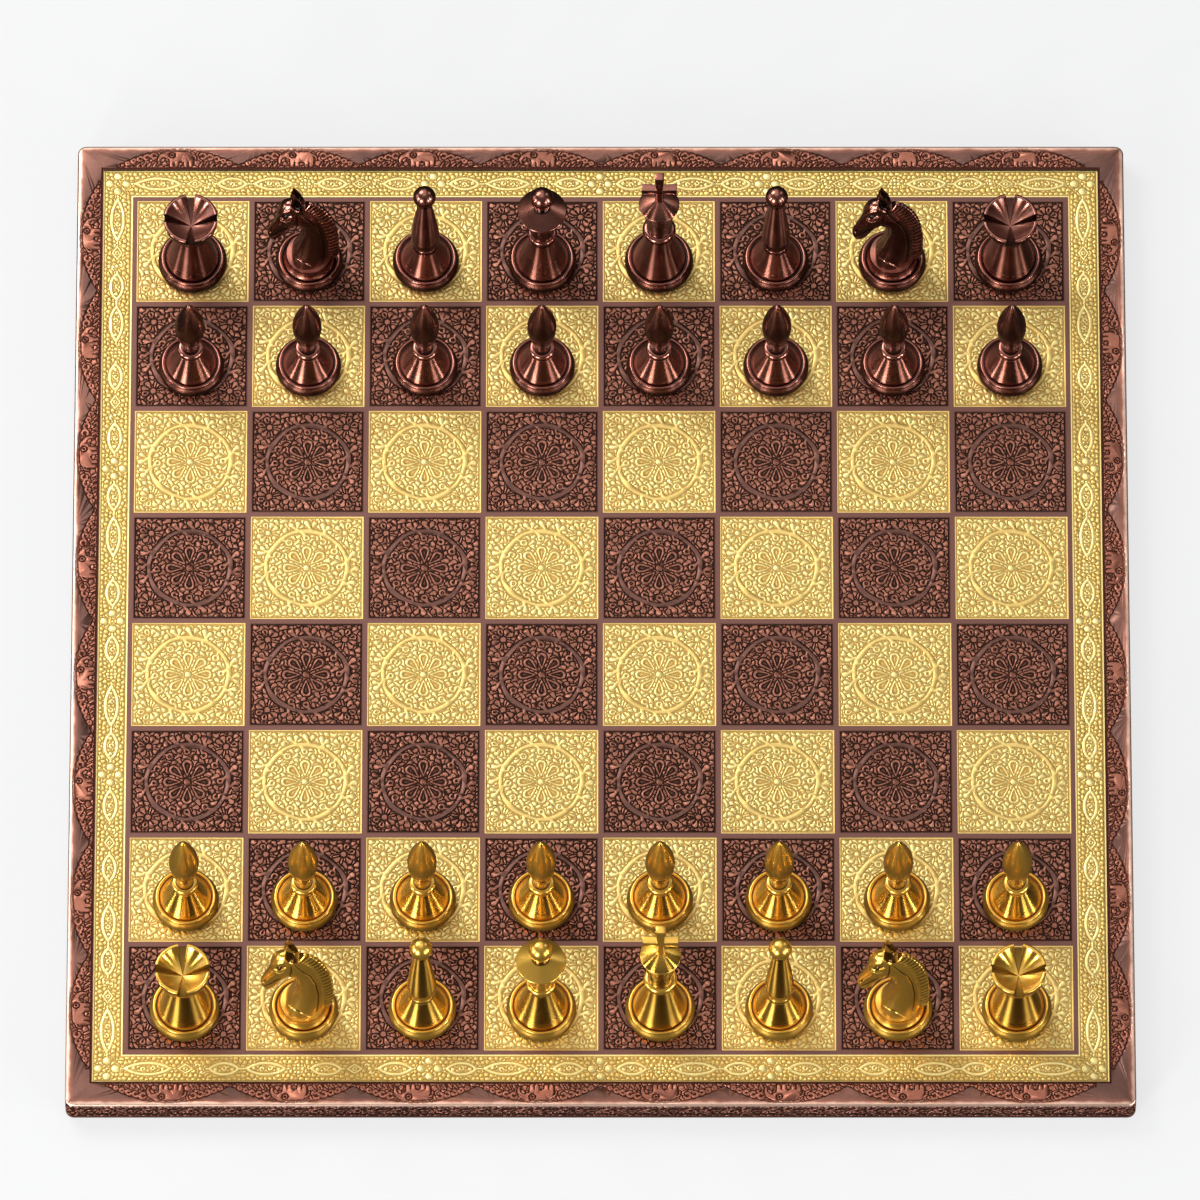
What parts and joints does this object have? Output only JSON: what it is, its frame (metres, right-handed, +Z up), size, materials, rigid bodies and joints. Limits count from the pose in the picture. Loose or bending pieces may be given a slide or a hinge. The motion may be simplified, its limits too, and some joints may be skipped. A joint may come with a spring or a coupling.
{
  "type": "chess set",
  "caption": "Chess set: polished gold and antique copper cast men standing on a framed square board of embossed brass and copper-brown squares.",
  "frame": {"origin": "centre of the underside, on the table", "axes": "+Z up; +Y away from the viewer, from the gold side to the copper side; +X to the right"},
  "size_m": [0.36, 0.36, 0.078],
  "materials": {
    "felt": "matt felt",
    "wood_core": "plain, hidden",
    "patinated_copper": "embossed copper, dark patina with rubbed edges",
    "pale_brass": "embossed, satin",
    "brown_bronze": "satin brown",
    "light_brass": "embossed, satin",
    "copper_brown": "embossed, satin, dark grooves",
    "polished_gold": "polished",
    "antique_copper": "brushed, dark antique"
  },
  "bodies": {
    "board": {"felt_base": "felt", "core_panel": "wood_core", "copper_frame": "patinated_copper", "brass_border": "pale_brass", "lattice": "brown_bronze", "light_squares": "light_brass", "dark_squares": "copper_brown"},
    "copper_rook_a": {"copper_rook_a": "antique_copper"},
    "copper_knight_b": {"copper_knight_b": "antique_copper"},
    "copper_bishop_c": {"copper_bishop_c": "antique_copper"},
    "copper_queen": {"copper_queen": "antique_copper"},
    "copper_king": {"copper_king": "antique_copper"},
    "copper_bishop_f": {"copper_bishop_f": "antique_copper"},
    "copper_knight_g": {"copper_knight_g": "antique_copper"},
    "copper_rook_h": {"copper_rook_h": "antique_copper"},
    "copper_pawn_a": {"copper_pawn_a": "antique_copper"},
    "copper_pawn_b": {"copper_pawn_b": "antique_copper"},
    "copper_pawn_c": {"copper_pawn_c": "antique_copper"},
    "copper_pawn_d": {"copper_pawn_d": "antique_copper"},
    "copper_pawn_e": {"copper_pawn_e": "antique_copper"},
    "copper_pawn_f": {"copper_pawn_f": "antique_copper"},
    "copper_pawn_g": {"copper_pawn_g": "antique_copper"},
    "copper_pawn_h": {"copper_pawn_h": "antique_copper"},
    "gold_rook_a": {"gold_rook_a": "polished_gold"},
    "gold_knight_b": {"gold_knight_b": "polished_gold"},
    "gold_bishop_c": {"gold_bishop_c": "polished_gold"},
    "gold_queen": {"gold_queen": "polished_gold"},
    "gold_king": {"gold_king": "polished_gold"},
    "gold_bishop_f": {"gold_bishop_f": "polished_gold"},
    "gold_knight_g": {"gold_knight_g": "polished_gold"},
    "gold_rook_h": {"gold_rook_h": "polished_gold"},
    "gold_pawn_a": {"gold_pawn_a": "polished_gold"},
    "gold_pawn_b": {"gold_pawn_b": "polished_gold"},
    "gold_pawn_c": {"gold_pawn_c": "polished_gold"},
    "gold_pawn_d": {"gold_pawn_d": "polished_gold"},
    "gold_pawn_e": {"gold_pawn_e": "polished_gold"},
    "gold_pawn_f": {"gold_pawn_f": "polished_gold"},
    "gold_pawn_g": {"gold_pawn_g": "polished_gold"},
    "gold_pawn_h": {"gold_pawn_h": "polished_gold"}
  },
  "joints": [
    {"name": "lift_copper_rook_a", "type": "slide", "parent": "board", "child": "copper_rook_a", "axis": [0, 0, 1], "range_m": [0, 0.08]},
    {"name": "lift_copper_knight_b", "type": "slide", "parent": "board", "child": "copper_knight_b", "axis": [0, 0, 1], "range_m": [0, 0.08]},
    {"name": "lift_copper_bishop_c", "type": "slide", "parent": "board", "child": "copper_bishop_c", "axis": [0, 0, 1], "range_m": [0, 0.08]},
    {"name": "lift_copper_queen", "type": "slide", "parent": "board", "child": "copper_queen", "axis": [0, 0, 1], "range_m": [0, 0.08]},
    {"name": "lift_copper_king", "type": "slide", "parent": "board", "child": "copper_king", "axis": [0, 0, 1], "range_m": [0, 0.08]},
    {"name": "lift_copper_bishop_f", "type": "slide", "parent": "board", "child": "copper_bishop_f", "axis": [0, 0, 1], "range_m": [0, 0.08]},
    {"name": "lift_copper_knight_g", "type": "slide", "parent": "board", "child": "copper_knight_g", "axis": [0, 0, 1], "range_m": [0, 0.08]},
    {"name": "lift_copper_rook_h", "type": "slide", "parent": "board", "child": "copper_rook_h", "axis": [0, 0, 1], "range_m": [0, 0.08]},
    {"name": "lift_copper_pawn_a", "type": "slide", "parent": "board", "child": "copper_pawn_a", "axis": [0, 0, 1], "range_m": [0, 0.08]},
    {"name": "lift_copper_pawn_b", "type": "slide", "parent": "board", "child": "copper_pawn_b", "axis": [0, 0, 1], "range_m": [0, 0.08]},
    {"name": "lift_copper_pawn_c", "type": "slide", "parent": "board", "child": "copper_pawn_c", "axis": [0, 0, 1], "range_m": [0, 0.08]},
    {"name": "lift_copper_pawn_d", "type": "slide", "parent": "board", "child": "copper_pawn_d", "axis": [0, 0, 1], "range_m": [0, 0.08]},
    {"name": "lift_copper_pawn_e", "type": "slide", "parent": "board", "child": "copper_pawn_e", "axis": [0, 0, 1], "range_m": [0, 0.08]},
    {"name": "lift_copper_pawn_f", "type": "slide", "parent": "board", "child": "copper_pawn_f", "axis": [0, 0, 1], "range_m": [0, 0.08]},
    {"name": "lift_copper_pawn_g", "type": "slide", "parent": "board", "child": "copper_pawn_g", "axis": [0, 0, 1], "range_m": [0, 0.08]},
    {"name": "lift_copper_pawn_h", "type": "slide", "parent": "board", "child": "copper_pawn_h", "axis": [0, 0, 1], "range_m": [0, 0.08]},
    {"name": "lift_gold_rook_a", "type": "slide", "parent": "board", "child": "gold_rook_a", "axis": [0, 0, 1], "range_m": [0, 0.08]},
    {"name": "lift_gold_knight_b", "type": "slide", "parent": "board", "child": "gold_knight_b", "axis": [0, 0, 1], "range_m": [0, 0.08]},
    {"name": "lift_gold_bishop_c", "type": "slide", "parent": "board", "child": "gold_bishop_c", "axis": [0, 0, 1], "range_m": [0, 0.08]},
    {"name": "lift_gold_queen", "type": "slide", "parent": "board", "child": "gold_queen", "axis": [0, 0, 1], "range_m": [0, 0.08]},
    {"name": "lift_gold_king", "type": "slide", "parent": "board", "child": "gold_king", "axis": [0, 0, 1], "range_m": [0, 0.08]},
    {"name": "lift_gold_bishop_f", "type": "slide", "parent": "board", "child": "gold_bishop_f", "axis": [0, 0, 1], "range_m": [0, 0.08]},
    {"name": "lift_gold_knight_g", "type": "slide", "parent": "board", "child": "gold_knight_g", "axis": [0, 0, 1], "range_m": [0, 0.08]},
    {"name": "lift_gold_rook_h", "type": "slide", "parent": "board", "child": "gold_rook_h", "axis": [0, 0, 1], "range_m": [0, 0.08]},
    {"name": "lift_gold_pawn_a", "type": "slide", "parent": "board", "child": "gold_pawn_a", "axis": [0, 0, 1], "range_m": [0, 0.08]},
    {"name": "lift_gold_pawn_b", "type": "slide", "parent": "board", "child": "gold_pawn_b", "axis": [0, 0, 1], "range_m": [0, 0.08]},
    {"name": "lift_gold_pawn_c", "type": "slide", "parent": "board", "child": "gold_pawn_c", "axis": [0, 0, 1], "range_m": [0, 0.08]},
    {"name": "lift_gold_pawn_d", "type": "slide", "parent": "board", "child": "gold_pawn_d", "axis": [0, 0, 1], "range_m": [0, 0.08]},
    {"name": "lift_gold_pawn_e", "type": "slide", "parent": "board", "child": "gold_pawn_e", "axis": [0, 0, 1], "range_m": [0, 0.08]},
    {"name": "lift_gold_pawn_f", "type": "slide", "parent": "board", "child": "gold_pawn_f", "axis": [0, 0, 1], "range_m": [0, 0.08]},
    {"name": "lift_gold_pawn_g", "type": "slide", "parent": "board", "child": "gold_pawn_g", "axis": [0, 0, 1], "range_m": [0, 0.08]},
    {"name": "lift_gold_pawn_h", "type": "slide", "parent": "board", "child": "gold_pawn_h", "axis": [0, 0, 1], "range_m": [0, 0.08]}
  ]
}
